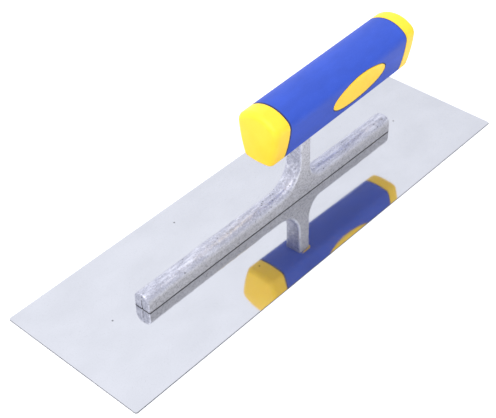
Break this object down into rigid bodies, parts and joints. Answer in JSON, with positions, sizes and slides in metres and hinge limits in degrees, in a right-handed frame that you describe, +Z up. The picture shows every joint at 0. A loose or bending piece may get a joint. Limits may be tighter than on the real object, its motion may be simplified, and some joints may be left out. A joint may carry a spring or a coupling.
{
  "type": "steel finishing trowel",
  "caption": "Rectangular plasterer's finishing trowel: thin polished steel blade riveted under a long cast bar whose single post carries a two-colour soft-grip handle.",
  "frame": {"origin": "centre of the blade's flat working face, on the underside", "axes": "+X along the blade towards the end that the handle reaches over, +Y across the blade, +Z up from the working face to the handle"},
  "size_m": [0.32, 0.1, 0.0835],
  "materials": {
    "polished_steel": "mirror-polished hardened steel strip",
    "cast_aluminium": "as cast and tumbled, mottled, satin",
    "rivet_steel": "ground flush with the blade",
    "yellow_plastic": "moulded polypropylene, smooth with a soft sheen",
    "blue_rubber": "soft thermoplastic rubber, fine matt grain",
    "screw_steel": "zinc plated"
  },
  "bodies": {
    "root": {"blade": "polished_steel", "mounting_casting": "cast_aluminium", "blade_rivet_1": "rivet_steel", "blade_rivet_2": "rivet_steel", "blade_rivet_3": "rivet_steel", "blade_rivet_4": "rivet_steel", "blade_rivet_5": "rivet_steel", "blade_rivet_6": "rivet_steel", "blade_rivet_7": "rivet_steel", "blade_rivet_8": "rivet_steel", "handle_core": "yellow_plastic", "handle_grip": "blue_rubber", "front_cap": "yellow_plastic", "rear_cap": "yellow_plastic", "handle_screw": "screw_steel", "screw_washer": "screw_steel"}
  },
  "joints": []
}
